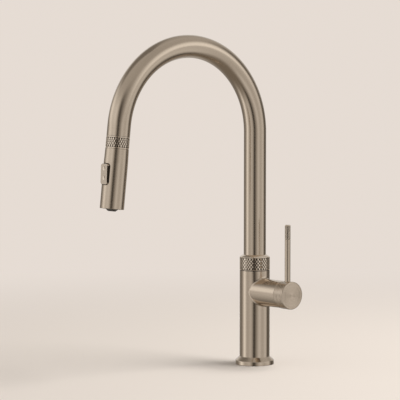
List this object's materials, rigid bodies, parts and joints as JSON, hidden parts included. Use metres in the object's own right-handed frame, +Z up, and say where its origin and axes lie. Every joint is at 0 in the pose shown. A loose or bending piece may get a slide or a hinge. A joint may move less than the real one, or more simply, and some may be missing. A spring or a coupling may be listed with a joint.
{
  "type": "pull-down kitchen faucet",
  "caption": "Single-hole deck faucet with a high swivelling arch spout, a docked pull-down spray head with a rocker, and a side lever that sets flow and temperature.",
  "frame": {"origin": "centre of the base seal's underside, where the column's axis meets the deck", "axes": "+Z up the column, -Y the way the spout reaches over the sink, +X along the handle's hub, to the user's right"},
  "size_m": [0.0976, 0.264, 0.5086],
  "materials": {
    "champagne_brushed": "brushed nickel with a warm champagne tone",
    "champagne_knurled": "knurled brushed nickel with a warm tone",
    "brass": "machined brass",
    "copper_tube": "drawn copper",
    "stainless": "stainless steel",
    "dark_rubber": "moulded rubber",
    "grey_rubber": "soft silicone",
    "white_nylon": "moulded acetal",
    "dark_nylon": "moulded nylon",
    "ceramic": "lapped alumina ceramic",
    "hose_braid": "braided nylon hose"
  },
  "bodies": {
    "faucet_body": {"base_flange": "champagne_brushed", "base_seal": "dark_rubber", "column_body": "champagne_brushed", "valve_block": "brass", "hot_inlet_tube": "copper_tube", "cold_inlet_tube": "copper_tube", "outlet_tube": "copper_tube", "cartridge_body": "white_nylon", "cartridge_seals": "dark_rubber", "ceramic_disc_fixed": "ceramic", "cartridge_nut": "brass", "cartridge_shroud": "champagne_brushed", "swivel_bush": "white_nylon", "collar_glide_ring": "dark_nylon", "mounting_shank": "brass", "deck_washer_rubber": "dark_rubber", "deck_washer_steel": "stainless", "lock_nut": "brass"},
    "spout": {"spout_tube": "champagne_brushed", "knurled_collar": "champagne_knurled", "spout_retaining_ring": "stainless", "dock_sleeve": "dark_nylon", "pullout_hose": "hose_braid", "hose_tail_fitting": "brass"},
    "mixing_rotor": {"cartridge_rotor": "white_nylon", "stem_pivot_pin": "stainless"},
    "disc_carriage": {"disc_carrier": "white_nylon", "ceramic_disc_moving": "ceramic"},
    "lever_handle": {"cartridge_stem": "stainless", "handle_knob": "champagne_brushed", "lever_pin": "champagne_brushed", "lever_tip": "champagne_knurled", "handle_set_screw": "stainless"},
    "spray_head": {"head_shell": "champagne_brushed", "grip_ring": "champagne_knurled", "docking_spigot": "dark_nylon", "hose_head_fitting": "brass", "head_core": "white_nylon", "check_valve": "white_nylon", "spray_manifold": "dark_nylon", "spray_face": "grey_rubber", "aerator": "dark_nylon", "face_retaining_ring": "stainless", "rocker_pivot_pin": "stainless"},
    "rocker": {"mode_rocker": "champagne_brushed"},
    "diverter": {"diverter_spool": "white_nylon"}
  },
  "joints": [
    {"name": "spout_swivel", "type": "hinge", "parent": "faucet_body", "child": "spout", "pos_m": [0, 0, 0.12], "axis": [0, 0, 1], "range_deg": [-180, 180]},
    {"name": "temperature", "type": "hinge", "parent": "faucet_body", "child": "mixing_rotor", "pos_m": [0.042, 0, 0.0926], "axis": [1, 0, 0], "range_deg": [-50, 50]},
    {"name": "flow", "type": "hinge", "parent": "mixing_rotor", "child": "lever_handle", "pos_m": [0.042, 0, 0.0926], "axis": [0, 1, 0], "range_deg": [0, 22]},
    {"name": "disc_travel", "type": "slide", "parent": "mixing_rotor", "child": "disc_carriage", "axis": [0, 0, 1], "range_m": [0, 0.0022]},
    {"name": "head_pull", "type": "slide", "parent": "spout", "child": "spray_head", "axis": [0, -0.112, -0.9937], "range_m": [0, 0.19], "stiffness_N_per_m": 5, "springref_m": -1},
    {"name": "mode_press", "type": "hinge", "parent": "spray_head", "child": "rocker", "pos_m": [0, -0.22828, 0.24751], "axis": [-1, 0, 0], "range_deg": [0, 5]},
    {"name": "diverter_travel", "type": "slide", "parent": "spray_head", "child": "diverter", "axis": [0, -0.112, -0.9937], "range_m": [0, 0.0006]}
  ],
  "couplings": [
    {"joint": "disc_travel", "follows": "flow", "m_per_rad": 0.005366},
    {"joint": "diverter_travel", "follows": "mode_press", "m_per_rad": 0.0053}
  ]
}
